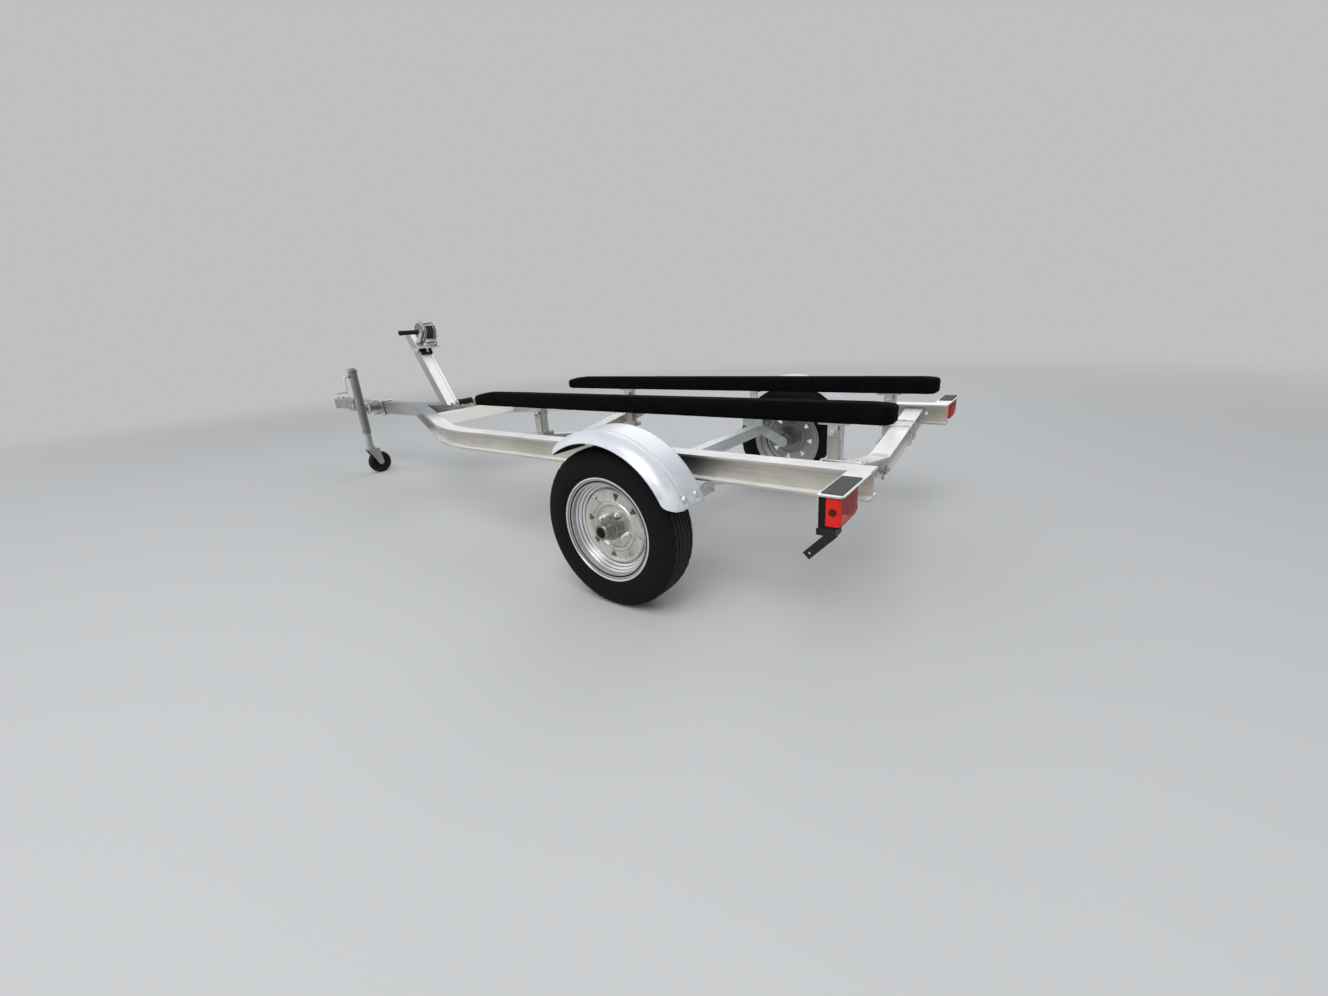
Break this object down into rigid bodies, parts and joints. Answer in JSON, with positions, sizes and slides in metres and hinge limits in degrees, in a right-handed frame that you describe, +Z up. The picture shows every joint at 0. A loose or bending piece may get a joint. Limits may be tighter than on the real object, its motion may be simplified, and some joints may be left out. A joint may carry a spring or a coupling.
{
  "type": "boat trailer",
  "caption": "Single-axle boat trailer with a bent aluminium frame, carpeted bunks, winch post, fenders, lamp boxes and swivel jack.",
  "frame": {"origin": "on the ground, at mid-length and mid-width", "axes": "+X forward to the coupler, +Y to the trailer's left, +Z up"},
  "size_m": [4.254, 1.59, 0.994],
  "materials": {
    "rail_metal": "satin mill finish",
    "galvanised": "spangled zinc",
    "zinc_bright": "bright zinc plate",
    "fender_skin": "pale satin",
    "carpet": "ribbed marine carpet",
    "dark_steel": "dark satin",
    "tyre_rubber": "matte tread",
    "roller_rubber": "matte",
    "lamp_red": "gloss lens",
    "grit_pad": "gritty",
    "strap_web": "woven strap"
  },
  "bodies": {
    "chassis": {"rail_left": "rail_metal", "rail_right": "rail_metal", "tongue_beam": "rail_metal", "cross_front": "rail_metal", "cross_middle": "rail_metal", "cross_rear": "rail_metal", "frame_plates": "rail_metal", "axle_tube": "galvanised", "axle_hangers": "galvanised", "torsion_arm_left": "galvanised", "torsion_arm_right": "galvanised", "fender_left": "fender_skin", "fender_right": "fender_skin", "fender_straps": "galvanised", "bunk_left": "carpet", "bunk_right": "carpet", "bunk_posts": "rail_metal", "bunk_saddles": "dark_steel", "light_box_left": "rail_metal", "light_box_right": "rail_metal", "light_pads": "grit_pad", "tail_lamp_left": "lamp_red", "tail_lamp_right": "lamp_red", "plate_bracket": "dark_steel", "winch_post": "rail_metal", "winch_frame": "galvanised", "bow_stop": "roller_rubber", "keel_bracket": "galvanised", "coupler": "zinc_bright", "coupler_latch": "zinc_bright", "jack_bracket": "zinc_bright"},
    "wheel_left": {"hub_left": "galvanised", "rim_left": "galvanised", "tyre_left": "tyre_rubber"},
    "wheel_right": {"hub_right": "galvanised", "rim_right": "galvanised", "tyre_right": "tyre_rubber"},
    "winch_reel": {"winch_drum": "strap_web"},
    "winch_handle": {"winch_crank": "zinc_bright"},
    "keel_wheel": {"keel_roller": "roller_rubber"},
    "jack_body": {"jack_tube": "zinc_bright", "jack_crank": "zinc_bright"},
    "jack_slider": {"jack_leg": "zinc_bright"},
    "caster": {"caster_fork": "zinc_bright"},
    "jack_roller": {"jack_wheel": "roller_rubber"}
  },
  "joints": [
    {"name": "wheel_left_spin", "type": "hinge", "parent": "chassis", "child": "wheel_left", "pos_m": [-1.373, 0.7, 0.2667], "axis": [0, 1, 0], "continuous": true},
    {"name": "wheel_right_spin", "type": "hinge", "parent": "chassis", "child": "wheel_right", "pos_m": [-1.373, -0.7, 0.2667], "axis": [0, 1, 0], "continuous": true},
    {"name": "winch_reel_spin", "type": "hinge", "parent": "chassis", "child": "winch_reel", "pos_m": [0.692, 0, 0.934], "axis": [0, 1, 0], "continuous": true},
    {"name": "winch_handle_spin", "type": "hinge", "parent": "chassis", "child": "winch_handle", "pos_m": [0.714, 0, 0.8642], "axis": [0, 1, 0], "continuous": true},
    {"name": "keel_wheel_spin", "type": "hinge", "parent": "chassis", "child": "keel_wheel", "pos_m": [0.419, 0, 0.515], "axis": [0, 1, 0], "continuous": true},
    {"name": "jack_swivel", "type": "hinge", "parent": "chassis", "child": "jack_body", "pos_m": [1.417, 0.16, 0.459], "axis": [0, -1, 0], "range_deg": [0, 90]},
    {"name": "jack_extend", "type": "slide", "parent": "jack_body", "child": "jack_slider", "axis": [0, 0, -1], "range_m": [-0.095, 0.15]},
    {"name": "caster_turn", "type": "hinge", "parent": "jack_slider", "child": "caster", "pos_m": [1.417, 0.16, 0.19], "axis": [0, 0, 1], "continuous": true},
    {"name": "jack_wheel_spin", "type": "hinge", "parent": "caster", "child": "jack_roller", "pos_m": [1.417, 0.12, 0.075], "axis": [1, 0, 0], "continuous": true}
  ],
  "couplings": [
    {"joint": "winch_reel_spin", "follows": "winch_handle_spin", "ratio": -0.2}
  ]
}
